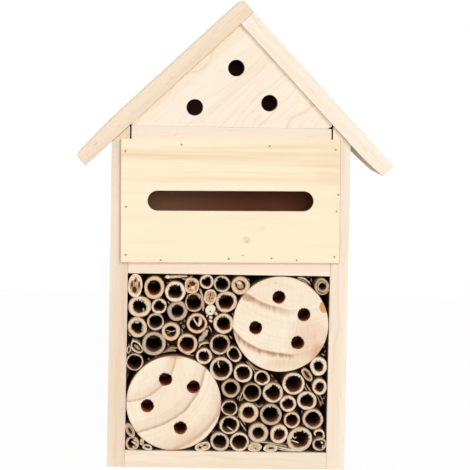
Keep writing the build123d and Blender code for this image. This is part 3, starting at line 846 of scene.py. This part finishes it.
# Each cane in the order of the nodes: its age, how ragged its bore is and its lean to the right and
# up, then where they aren't 0, its oval share and tilt, and how much wider than drilled its bore is
cane_looks = (
    (orange, 0.3, 0.2, -1, 0.06, 85, 0.3), (fresh, 0.8, -0.4, -0.5), (cream, 0.9, 0.2, -0.9, 0.04, -5, 0),
    (cream, 1, -0.4, -0.5), (ashen, 0.4, 0.2, 0.2, 0.03, 30, 0.3),
    (stained, 0.5, -0.5, -0.2, 0.04, 90, 0.6), (straw, 0.3, 0.1, -0.3),
    (honey, 0.5, 0.1, -0.7, 0.05, -70, 0), (orange, 0.4, -0.5, -0.7), (orange, 0.4, 0.6, -0.1),
    (ashen, 0.2, -0.1, -0.9, 0, 0, 0.3), (orange, 0.5, -0.1, -1.2, 0, 0, 0.2), (straw, 0.7, -0.1, -0.5),
    (honey, 0.6, 0, 0, 0.03, 45, 0.3), (honey, 0.8, 0.8, 0), (orange, 0.6, 0.3, -0.7),
    (straw, 0.8, 1.2, -0.5, 0.03, 60, 0), (fresh, 1, 0.5, -0.3), (dull, 0.4, -1, 0.5),
    (fresh, 0.6, -0.4, -0.4), (fresh, 0.9, -0.5, -0.5, 0.05, -20, 0), (straw, 0.1, -0.4, -0.2, 0, 0, 0.2),
    (old, 0.3, -0.3, 0.1, 0, 0, 0.3), (old, 0.3, -0.6, -0.5, 0, 0, 0.3), (dull, 0.8, 0.1, -0.3),
    (fresh, 0.9, 0.2, -0.2), (fresh, 0.9, -0.1, 0.1, 0.05, 90, 0), (fresh, 0.9, 0, -0.6, 0.05, 90, 0),
    (cream, 0.9, 0.2, -0.2), (cream, 0.8, 0.1, -0.3, 0.04, -5, 0), (dull, 0.4, -0.7, -0.7, 0.05, -15, 0.3),
    (honey, 0.2, 0, -1.2), (ashen, 1, 0.2, -0.9), (honey, 0.6, -0.5, -0.7),
    (straw, 0.7, -0.2, 0, 0, 0, 0.3), (dull, 0.5, -0.4, -0.2, 0.04, 15, 0.2),
    (straw, 0.2, 0.1, -0.4, 0, 0, 0.2), (fresh, 0.9, -0.4, -0.9, 0.05, 65, 0),
    (dull, 1, -0.5, -0.6, 0.04, 50, 0), (straw, 0.3, 0, -0.4, 0.04, -45, 0.2), (fresh, 0.2, -0.4, -0.6),
)
thin_looks = (
    (cream, 0.8, 0.2, -0.1), (dull, 0.8, 0.6, -0.4, 0.14, -50, 0),
    (straw, 0.6, -0.4, -0.5), (straw, 1, 0.1, -0.2, 0.06, 20, 0.7),
)
# The thin ones' middles in X and Z, in the order of their looks
thin_middles = ((-11.4, 111.5), (4.4, 68.3), (-56, 14.2), (55.9, 14))
# What each point of a cane carries, and its usual value
cane_numbers = {"ring": 0.0, "bore": 0.0, "grey": 0.0, "warm": 0.0}
for number, look in enumerate(cane_looks, 1):
    node = f"cane_{number:02d}"
    skin = Skin(**cane_numbers)
    cane_skin(skin, tube_size(corner_points(node)), look, number * 11)
    finished(node + "_cut", skin, cut_cane, "cane", node)
skin = Skin(**cane_numbers)
for points in round_parts("thin_canes"):
    tube = tube_size(points)
    order = int(np.argmin([math.dist(tube[:2], middle) for middle in thin_middles]))
    cane_skin(skin, tube, thin_looks[order], 600 + order * 11)
finished("thin_canes_cut", skin, cut_cane, "cane", "thin_canes")
print("Cut", len(cane_looks), "canes and", len(thin_looks), "thin ones")

# %% [markdown]
# ## Crushed canes
# Where the packing is tight, the weaker stems are crushed to ovals, and their pith stands in thin
# membranes round brown hollows. Each is an oval of rings from the middle out. A membrane stands
# where a random wave crosses zero, so the membranes make closed cells, as pith does. Sculpting
# would do as well, but a wave can be drawn again with another seed. Slits are pressed in at given
# places, and one stem has split and curled up, so it is two strips wound to a spiral.

# %% Crushed cane finish
def crushed_wood():
    """Cream folds over brown hollows and a tan skin, all painted darker as shade where they sink and with
    depth.
    """
    husk = Finish("crushed_cane")
    side, sunk, grey, warm = (husk.value(name) for name in ("side", "sunk", "grey", "warm"))
    grain = husk.noise(husk.place, 1300, detail=3)
    cloud = husk.noise(husk.place, 420)
    rind = husk.mix(husk.noise(husk.turned(0.0, (900, 14, 900)), detail=3), "#c4a578", "#8e7048")
    # The hollows are brown and painted darker as shade where they sink deepest; the last coat is painted
    # shade with depth
    colour = husk.tinted(
        husk.mix(warm, husk.mix(grey, "#f6e9d2", "#97887a"), "#e4b88c"),
        (cloud, 0.42, 0.7, 0.55, husk.mix(grey, "#e0bf92", "#6e5c4c")), (grain, 0.5, 0.75, 0.4, "#b58f62"),
        (sunk, 0.12, 0.45, 1, "#b88458"), (sunk, 0.4, 0.9, 1, "#6e3c26"), (side, 0.6, 0.95, 1, rind),
        (behind(husk), 4, 30, 0.8, "#84543e"))
    return husk.done(colour, grain * 0.2 + 0.55, grain, 0.0001)


crushed = crushed_wood()
print("Mixed the crushed cane finish")


# %% Crushed cane and strip builders
def crushed_skin(skin, look, front, back, seed):
    """Ovals from the middle out to the rim, then along the skin to the back and closed there."""
    x, z, half_long, half_short, tilt, fill, warm, grey, *slits = look
    slits = np.reshape(slits, (-1, 4, 1))
    turn = math.radians(tilt)
    angle = np.linspace(0, 2 * np.pi, 80, endpoint=False)
    round_it = unit(angle)
    drawn = 1 + 0.05 * waves(round_it, seed, 2.5, 0.8)
    oval = np.sign(round_it) * np.abs(round_it) ** 0.9 * drawn[:, None]

    def place(share, inset=0.0):
        """The oval's points at a share of its size, turned by the tilt."""
        along, aside = oval[:, 0] * (half_long * share - inset), oval[:, 1] * (half_short * share - inset)
        px = x + along * math.cos(turn) - aside * math.sin(turn)
        return px, z + along * math.sin(turn) + aside * math.cos(turn)

    rings = []
    for share in np.linspace(0.05, 1, 26):
        px, pz = place(share)
        u, v = oval.T * share
        where = np.stack([u * half_long * 0.5, v * half_short], 1)
        # Hollow between the membranes and within the rim, and pinched in at the slits
        lines = np.minimum(np.abs(waves(where, seed + 5, 6, 2.0)), np.abs(waves(where, seed + 6, 3.2, 1.1)))
        between = np.clip((lines - 0.04) / 0.16, 0, 1)
        bowl = np.clip((0.82 - share) / 0.10, 0, 1)
        apart = ((u - slits[:, 0]) / slits[:, 2]) ** 2 + ((v - slits[:, 1]) / slits[:, 3]) ** 2
        pinch = np.clip(3.0 * (1 - apart.min(0)), 0, 1)
        sunk = np.maximum(bowl * between * (1 - fill), pinch)
        y = front + 0.15 + 1.3 * sunk + 2.4 * pinch + 0.1 * waves(where, seed + 8, 2, 0.7)
        rings.append(skin.ring(px, y, pz, sunk=sunk, grey=grey, warm=warm))
    for y, inset in ((front + 0.5, 0.0), (front + 6, 0.1), (back, 0.25)):
        px, pz = place(1, inset)
        rings.append(skin.ring(px, y, pz, side=1.0, grey=grey, warm=warm))
    skin.stack(rings)
    innermost = skin.points[-len(rings)]
    skin.fan(rings[0], x, innermost[:, 1].mean(), z, sunk=1 - fill, grey=grey, warm=warm)
    skin.fan(rings[-1], x, back, z, side=1.0)


def strip(skin, path, half, front, deep, grey, warm, seed):
    """A rounded strip along a path, thin and torn at its ends. A few points become one smooth polynomial."""
    path = np.array(path, float)
    if len(path) < 6:
        share = np.linspace(0, 1, len(path))
        fine = np.linspace(0, 1, 8 + 5 * min(len(path), 5))
        path = np.stack([np.polyval(np.polyfit(share, path[:, i], len(path) - 1), fine) for i in (0, 1)], 1)
    along = np.linspace(0, 1, len(path))
    heading = np.gradient(path, axis=0)
    heading /= np.linalg.norm(heading, axis=1, keepdims=True)
    thick = half * np.sin(np.pi * (0.05 + 0.9 * along)) ** 0.45 * (1 + 0.25 * waves(along, seed, 0.5, 0.12))
    sway = 0.3 * waves(along, seed + 1, 1.5, 0.4)
    # The section in half widths, aside and inwards: round in front, then straight to the whole depth
    whole = np.inf
    aside = np.array((0, 0.55, 0.9, 1, 1, 0.6, 0, -0.6, -1, -1, -0.9, -0.55))
    inward = np.array((0, 0.1, 0.4, 1, whole, whole, whole, whole, whole, 1, 0.4, 0.1))
    rings = []
    for (px, pz), (hx, hz), size, shift in zip(path, heading, thick, sway):
        y = front + shift + np.where(inward < whole, np.minimum(inward * size, deep * 0.7), deep)
        rings.append(skin.ring(px - hz * size * aside, y, pz + hx * size * aside, grey=grey, warm=warm))
    skin.stack(rings)
    for end in (0, -1):
        px, pz = path[end]
        skin.fan(rings[end], px, front + sway[end] + deep / 2, pz, grey=grey, warm=warm)


print("Stems can be crushed and torn")

# %% Crushed canes
# Each one's middle, half sizes and tilt, how full of pith, orange and grey it is, and then for each
# slit its place and half sizes as shares of the stem's
crushed_looks = (
    (-56, 109.1, 6.9, 4.4, 90, 0.6, 0.3, 0, -0.36, 0.08, 0.28, 0.30, 0.1, 0.45, 0.3, 0.11,
     0.1, -0.52, 0.3, 0.1, 0.44, 0, 0.13, 0.15),
    (-22.1, 109.7, 4.8, 4.2, 90, 0.6, 0.65, 0.1, 0.24, -0.05, 0.27, 0.45, -0.09, 0.43, 0.2, 0.14),
    (-11, 103.1, 4.5, 3.6, 80, 0.62, 0.5, 0, 0.05, 0.05, 0.42, 0.07, -0.1, -0.4, 0.12, 0.06),
    (-10.7, 95.3, 3.2, 2.8, 60, 0.9, 0, 0, -0.3, -0.2, 0.15, 0.15),
    (47.9, 57.1, 4.4, 2.3, -52, 0.6, 0.3, 0.5, 0, 0, 0.66, 0.38),
    (-57.8, 22.1, 4.4, 2.3, -62, 0.7, 0.2, 0.6, 0.1, 0, 0.5, 0.36),
    (-13.8, 12.8, 4.7, 2.6, 12, 0.65, 0.2, 0.1, -0.4, -0.1, 0.14, 0.28, 0.25, 0.2, 0.2, 0.2),
    (17.4, 12.8, 4.2, 2.6, 3, 0.7, 0.1, 0.2, 0.1, -0.3, 0.1, 0.15),
    (26.8, 12.3, 4.2, 2.3, 3, 0.7, 0, 0.1, 0.1, 0, 0.5, 0.28),
    (-50.4, 15.2, 2.1, 1.2, 85, 0.8, 0.2, 0.4, 0, 0.1, 0.1, 0.1),
    (-47.1, 11.9, 3, 1.7, -15, 0.8, 0.1, 0.3, 0, 0.1, 0.6, 0.4),
)
# What each point of a crushed cane or a sliver carries, and its usual value
husk_numbers = {"side": 0.0, "sunk": 0.0, "grey": 0.0, "warm": 0.0}
front, back = reach("crushed_canes")[0][1], reach("crushed_canes")[1][1]
skin = Skin(**husk_numbers)
for number, look in enumerate(crushed_looks):
    crushed_skin(skin, look, front, back - 0.1, 40 + number * 9)
curl_x, curl_z = 56.0, 110.4
turns = np.linspace(0, 1, 60)
for size, start, seed in ((4.3, 1.9, 1), (3.2, 2.5, 2)):
    angle = start * np.pi - turns * 2.3 * np.pi
    wide, high = size - turns, size * 1.15 - 1.2 * turns
    spiral = np.stack([curl_x + wide * np.cos(angle), curl_z + high * np.sin(angle)], 1)
    strip(skin, spiral, 0.62, front + 0.3, back - front - 1.5, 0.8, 0.5, seed)
finished("crushed_canes_split", skin, crushed, "crushed_cane", "crushed_canes")
print("Crushed", len(crushed_looks), "stems and curled one")

# %% [markdown]
# ## Slivers and dust
# Torn slivers of leaf and skin stick in the gaps and the bores, and short bits of fibre lie between
# the stems as dust. A sliver is a strip carried along a curve through a few given points, because
# each one shows. The dust is scattered instead: many places are tried at random, and those that
# are clear of every stem and log keep their bit. A particle system could do it too, but it would
# not know where the gaps are.

# %% Slivers
# Each sliver: half width, distance behind the cut ends, depth, grey, orange, and its points in X and Z
stuck = (
    (0.42, -0.2, 60, 0.15, 0, -57.6, 73.3, -56.3, 75.6, -53.2, 74.2, -50.8, 70.1),
    (0.42, -0.2, 60, 0.15, 0, -57.6, 73, -56.6, 70.7, -53.6, 68.9, -50.8, 70.1),
    (0.35, -0.3, 20, 0.2, 0, -57.7, 71.5, -57.5, 74, -56.6, 76.8),
    (0.3, -0.2, 40, 0.2, 0.1, -58.9, 72.9, -60.1, 70.6, -59.6, 68.2),
    (0.3, -0.2, 40, 0.2, 0.1, -58.9, 72.9, -58.2, 70.4, -59.6, 68.2),
    (0.8, 3, 5, 0.7, 0.3, -56, 73, -54, 71.6, -52.6, 70.3), (0.95, 0, 60, 0, 0.15, -11.2, 91.3, -9.6, 90),
    (0.8, 0.2, 20, 0, 0.35, -8.2, 93.6, -6.6, 92.2), (0.75, 0.1, 30, 0.05, 0.1, -11.4, 88.9, -9.4, 88),
    (0.7, 0, 12, 0, 0.3, -7.6, 90.6, -6.4, 89.2), (0.5, 0.3, 12, 0, 0.1, -12, 92.4, -12.9, 91),
    (0.5, -0.6, 50, 0.4, 0.5, 41.5, 115.3, 45.3, 114.6, 48.9, 111.6),
    (0.3, -0.3, 40, 0.8, 0.4, 41, 114.5, 44.6, 113.5, 47.8, 110.7),
    (0.28, 0.3, 30, 0.3, 0, 43, 112.9, 45.8, 112, 47.4, 110.2),
    (0.42, 0, 60, 0.1, 0.4, -17.2, 72.4, -15.2, 74.7, -11.3, 75),
    (0.6, -0.2, 50, 0.05, 0, 53.8, 20.4, 54.1, 22.8, 57, 23.2, 58.9, 20.8),
    (0.5, -0.1, 40, 0.1, 0, 58.9, 21, 58.9, 19.6, 58.2, 18.4),
    (0.55, 0, 55, 0.25, 0, 30.3, 13.6, 37.3, 11.7, 45.6, 10.75),
    (0.3, 0.2, 40, 0.2, 0.1, 14.5, 15.6, 26, 15.3, 36.8, 13.2),
    (0.4, 0.5, 40, 0.45, 0, 31, 12, 36.5, 10.9, 42, 10.6),
)
loose = (
    (0.8, -0.3, 30, 0.4, 0.1, -38.2, 114.3, -32.3, 114.7, -25.1, 115.1),
    (1, -0.5, 6, 0, 0, -38, 114.5, -35.3, 114.5),
    (0.4, 0.6, 20, 0.7, 0.45, -28, 113.6, -25, 113.4, -22, 115.4),
    (0.8, 0.5, 40, 0.55, 0.2, -17.3, 107.6, -15.3, 101, -15.2, 94.6),
    (0.4, 0, 10, 0.8, 0.25, -21.5, 105, -19, 104.2, -17.2, 101.4),
    (1.5, 0.8, 1.2, 0.55, 0, -12.2, 83, -14.4, 79.6, -17.2, 76.1),
    (0.22, 0, 3, 0.3, 0.15, -11.7, 85.6, -9.9, 83), (0.2, 0.5, 3, 0.4, 0.15, -13.2, 85.8, -11.9, 84),
    (0.25, 0.5, 3, 0.6, 0.15, 0.9, 79.7, 2.7, 78), (0.2, 0.8, 3, 0.6, 0.25, 0.2, 77.4, 1.3, 76),
    (0.3, 0, 3, 0.4, 0.15, -24.9, 68.4, -22.2, 68), (0.25, 0.4, 3, 0.6, 0.15, -27.2, 70.4, -25.6, 69.4),
    (0.8, 2.6, 14, 1, 0.3, -38.1, 68.9, -34.5, 70.2, -30.9, 69.9),
    (0.5, 3.6, 14, 1, 0.5, -36, 71, -32.5, 71.6, -29.5, 71.2),
    (0.4, 1.5, 9, 1, 0.15, -28, 83.6, -27.2, 80.8, -28.2, 78.6),
    (0.25, 0.6, 3, 1, 0.15, -27.6, 85.6, -26.2, 83.6), (0.2, 0.8, 3, 0.9, 0.15, -29, 86.4, -27.4, 87.2),
    (0.3, 0, 30, 0.6, 0.35, 11.3, 64.2, 15, 60.6, 17, 57.2),
    (0.22, 0.3, 20, 0.7, 0.35, 12.4, 64.6, 16.6, 60.4, 19.5, 59.4),
    (0.35, 0.6, 20, 1, 0.6, 47.6, 51.4, 49.2, 48.6, 50.9, 46.6),
    (0.3, 0.9, 10, 1, 0.6, 46.4, 50.4, 48, 47.6),
    (0.22, 0.6, 40, 0.9, 0.3, 53.6, 45.3, 55.6, 41.6, 56.6, 38),
    (0.2, 0.9, 40, 0.8, 0.3, 55, 45.6, 57.2, 42.4, 58.2, 39),
    (0.3, 0.8, 10, 0.8, 0.45, 56, 40.8, 57.2, 38.6), (0.2, 0, 12, 0.1, 0, 7.6, 40.4, 8.6, 43.9, 9.8, 46.7),
    (0.2, 0.4, 6, 0.5, 0.15, 6.4, 41.4, 7.6, 43.4), (0.2, 0.3, 6, 0.7, 0.25, 10.2, 42.6, 8.8, 40.6),
    (0.28, 0.2, 16, 0.5, 0.25, 7.8, 28.5, 9.8, 25.6, 12.1, 22.3),
    (0.2, 0.4, 8, 0.6, 0.35, 9.2, 29.2, 11.6, 26),
    (0.22, 0.5, 12, 0.7, 0.25, 6.4, 30.4, 8, 32.8, 7.2, 35.4),
    (0.3, 1, 8, 0.9, 0.55, 17.6, 38.6, 19.6, 37, 21.6, 38.4), (0.3, 1, 8, 0.9, 0.45, 31.4, 34.8, 33.2, 33),
    (0.3, 0.6, 6, 0.7, 0.45, 28.4, 17.6, 30, 16.2), (0.3, 0.8, 6, 0.6, 0.25, 49, 25.4, 51.4, 24.2),
    (0.25, 0.5, 6, 0.9, 0.55, -46.4, 103.6, -44.6, 101.8),
    (0.2, 0.4, 3, 0.5, 0.15, -36.4, 99.8, -35.2, 98.2), (0.3, 0.6, 6, 0.9, 0.25, -59.6, 79.8, -58.2, 78.6),
    (0.22, 1, 8, 1, 0.45, -60, 84, -59, 81, -57.2, 79.6), (0.25, 1, 8, 1, 0.45, -60, 96.2, -59.2, 93.6),
)
in_bores = (
    (1.75, 0.5, 1.2, 0.5, 0, -54.6, 88.6, -54.4, 86.4), (0.5, 0.8, 2, 0.3, 0.6, -51.5, 83.4, -50.4, 84.8),
    (0.3, 0.6, 2, 0.1, 0.5, -52, 82.6, -50.6, 82),
    (0.3, 0.8, 1, 0.7, 0.3, -36.9, 82.6, -34.1, 81.7, -31.3, 82.6),
    (0.2, 0.9, 1, 0.8, 0.4, -36.4, 80.8, -34.6, 80.9),
    (1.05, 1, 9, 0, 0.3, -16.9, 90.8, -16.6, 88, -17.7, 85),
    (0.45, 0.8, 5, 0, 0.4, -21, 89.8, -19.4, 87.4, -18, 85.2),
    (0.9, 3.5, 9, 0.1, 1, -21.6, 90.2, -20.2, 88.6), (0.45, 0.8, 5, 0.1, 0.7, -15.8, 88, -16.4, 85.8),
    (0.3, 0.8, 1, 0, 0, -5, 65, -5.5, 62.8, -4.5, 60.5), (2, 2.2, 3, 0.5, 0.6, 5, 109.9, 8.8, 109.4),
    (1.35, 0.5, 3, 0, 0, 4.6, 112.3, 7.6, 110.9), (0.95, -1, 3, 0, 0.2, -22.6, 107.9, -20.4, 108.7),
    (0.32, 0.6, 1, 0, 0, 0.7, 24.8, 4.2, 22.5), (0.3, 0.6, 1, 0, 0, 39.1, 17.2, 43.7, 15.7),
    (0.28, 0.7, 1, 0, 0, 39.7, 20.2, 41.4, 18.3), (0.2, 0.9, 1, 0.2, 0.1, 42.4, 19.4, 41.6, 18),
    (0.7, 0.9, 3, 0.25, 0.3, -56.6, 15, -54.4, 13.8, -53.6, 12.4),
    (0.6, 0.7, 3, 0.2, 0.5, -56, 12, -54.4, 11.6), (0.4, 0.6, 2, 0.1, 0.1, -55.6, 16.2, -53.8, 15.6),
    (0.25, 0.6, 1, 0, 0, -51, 95.6, -50.6, 93.8), (0.35, 0.4, 1.5, 0.1, 0.8, -52.6, 100.6, -51.6, 99.2),
    (0.3, 0.4, 1.5, 0.1, 0.9, -50.8, 100.4, -50.2, 98.6), (0.5, 0.2, 3, 0.1, 0, 57.2, 16.6, 58.4, 15.4),
    (0.4, 0.3, 3, 0.1, 0, 58.6, 14.4, 58.2, 12.4),
)
print("Chose", len(stuck) + len(loose) + len(in_bores), "slivers")

# %% Dust
# How many places are tried, how far a bit keeps from every stem and log, and from the boards, and
# its half width and depth
tried, clear, margin, bit_half, bit_deep = 900, 0.5, 1.0, 0.2, 1.5
stems = [tube_size(corner_points(f"cane_{number:02d}"))[:3] for number in range(1, len(cane_looks) + 1)]
stems += [tube_size(points)[:3] for points in round_parts("thin_canes")]
stems += [look[:3] for look in crushed_looks]
for node in ("upper_log", "lower_log"):
    low, high = reach(node)
    stems.append((*tube_size(corner_points(node))[:2], (high[0] - low[0]) / 2))
stems = np.array(stems)
floor_top, shelf_low = reach("floor_board")[1][2], reach("middle_shelf")[0][2]
luck = np.random.default_rng(5)
room_low, room_high = (margin - inner_half, floor_top + margin), (inner_half - margin, shelf_low - margin)
spots = luck.uniform(room_low, room_high, (tried, 2))
free = (np.linalg.norm(spots[:, None] - stems[:, :2], axis=2) - stems[:, 2]).min(1) > clear
bits = luck.uniform((0, 0.5, 1.0, 0.6, 0.2), (np.pi, 1.1, 5.0, 1.0, 0.9), (tried, 5))
dust = []
for (x, z), (tilt, size, back_by, grey, warm) in zip(spots[free], bits):
    dx, dz = size * math.cos(tilt), size * math.sin(tilt)
    dust.append((bit_half, back_by, bit_deep, grey, warm, x - dx, z - dz, x + dx, z + dz))
print("Scattered", len(dust), "bits of dust")

# %% Tear the slivers
cut_end = reach("cane_01")[0][1]
back = reach("cane_splinters")[1][1]
for name, rows, nodes in (
        ("cane_splinters_torn", stuck, ("cane_splinters",)), ("loose_husks", (*loose, *dust), ()),
        ("bore_flakes", in_bores, ())):
    skin = Skin(**husk_numbers)
    for seed, (half, behind_cut, deep, grey, warm, *path) in enumerate(rows, 3):
        deep = min(deep, back - cut_end - behind_cut - 1)
        strip(skin, np.reshape(path, (-1, 2)), half, cut_end + behind_cut, deep, grey, warm, seed)
    finished(name, skin, crushed, "crushed_cane", *nodes)
print("Tore three groups of slivers")

# %% [markdown]
# ## Carried-over solids
# The gable, the plywood panels and the pins are already the right shape, so they stay as they are
# and only take their finishes.

# %% Finish the carried-over solids
for node, material in finishes.items():
    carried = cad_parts[node]
    carried.data.materials.clear()
    carried.data.materials.append(material)
dict.fromkeys(pin_sets, "pin_steel")

# %% [markdown]
# ## Floor, light and camera
# The house stands on a plain white floor under an even white sky. Three soft suns light it. The key
# comes from the front, a little to the right and above. A low fill from straight ahead reaches into
# the bores, the holes and the slot. A weak rim from behind the left shoulder lifts the left roof
# board. The camera stands a little to the left and above, far off, with a long lens, and is rolled
# a touch clockwise.

# %% Floor
def white_floor():
    """White to the camera, and still a surface that takes the soft shadow."""
    floor = Finish("studio_floor")
    glow = floor.node("Emission", {"Color": (1, 1, 1, 1), "Strength": 1.0})
    cloth = floor.noise(floor.place, 300)
    floor.done(floor.mix(cloth * 0.05, "#d8d6d4", "#cccac8"), 0.8, cloth, 0.0001)
    lit = Wire(floor, floor.shader.outputs[0])
    both = floor.node("MixShader", {0: floor.seen() * 0.97, 1: lit, 2: glow})
    floor.fill(floor.tree.nodes["Material Output"], {"Surface": both})
    return floor.material


floor_height = -0.02
angle = np.linspace(0, 2 * np.pi, 64, endpoint=False)
skin = Skin()
rings = [skin.ring(size * np.cos(angle), size * np.sin(angle), floor_height) for size in (20, 200, 600, 1200)]
skin.stack(rings)
skin.fan(rings[0], 0, 0, floor_height)
floor_mesh = bpy.data.meshes.new("studio_floor")
floor_mesh.from_pydata((np.concatenate(skin.points) / 1000).tolist(), [], skin.faces)
floor_mesh.materials.append(white_floor())
placed("studio_floor", floor_mesh)
print("Laid the floor")

# %% World and suns
scene.world = bpy.data.worlds.new("studio_sky")
scene.world.use_nodes = True
sky = Pattern(scene.world.node_tree)
# White to look at, and weaker as a light
light_strength = 0.58
strength = sky.seen() * (1 - light_strength) + light_strength
sky.fill(sky.tree.nodes["Background"], {"Color": (1, 1, 1, 1), "Strength": strength})
# Each sun's strength, how many degrees wide it is, and the way towards it
suns = {
    "key_sun": (0.90, 14, (0.24, -0.92, 0.36)), "front_fill": (0.5, 16, (0.02, -1.0, 0.15)),
    "left_rim": (0.8, 40, (-0.68, 0.12, 0.72)),
}
for name, (energy, spread, toward) in suns.items():
    lamp = bpy.data.lights.new(name, "SUN")
    lamp.energy = energy
    lamp.angle = math.radians(spread)
    sun = placed(name, lamp)
    sun.rotation_mode = "QUATERNION"
    sun.rotation_quaternion = Vector(toward).normalized().to_track_quat("Z", "Y")
print("Hung", len(suns), "suns")

# %% Camera
# Where it stands, the way it looks, and its focal length and picture width in pixels
stand = Vector((-0.06476, -1.75209, 0.25436))
yaw, pitch, roll = 0.0395, -0.0662, 0.0188
focal_pixels, picture_pixels = 2882.34, 470
forward = Vector((math.sin(yaw) * math.cos(pitch), math.cos(yaw) * math.cos(pitch), math.sin(pitch)))
right = Vector((math.cos(yaw), -math.sin(yaw), 0.0))
up = right.cross(forward)
rolled_right = right * math.cos(roll) + up * math.sin(roll)
rolled_up = up * math.cos(roll) - right * math.sin(roll)
camera_data = bpy.data.cameras.new("studio_camera")
camera_data.sensor_width = 36.0
camera_data.lens = focal_pixels / picture_pixels * camera_data.sensor_width
camera_data.clip_end = 50.0
camera = placed("studio_camera", camera_data)
turn = Matrix((rolled_right, rolled_up, -forward)).transposed().to_4x4()
camera.matrix_world = Matrix.Translation(stand) @ turn
scene.camera = camera
scene.view_settings.view_transform = "Standard"
print("Camera at", [round(v, 3) for v in camera.location], "with a", round(camera_data.lens), "mm lens")
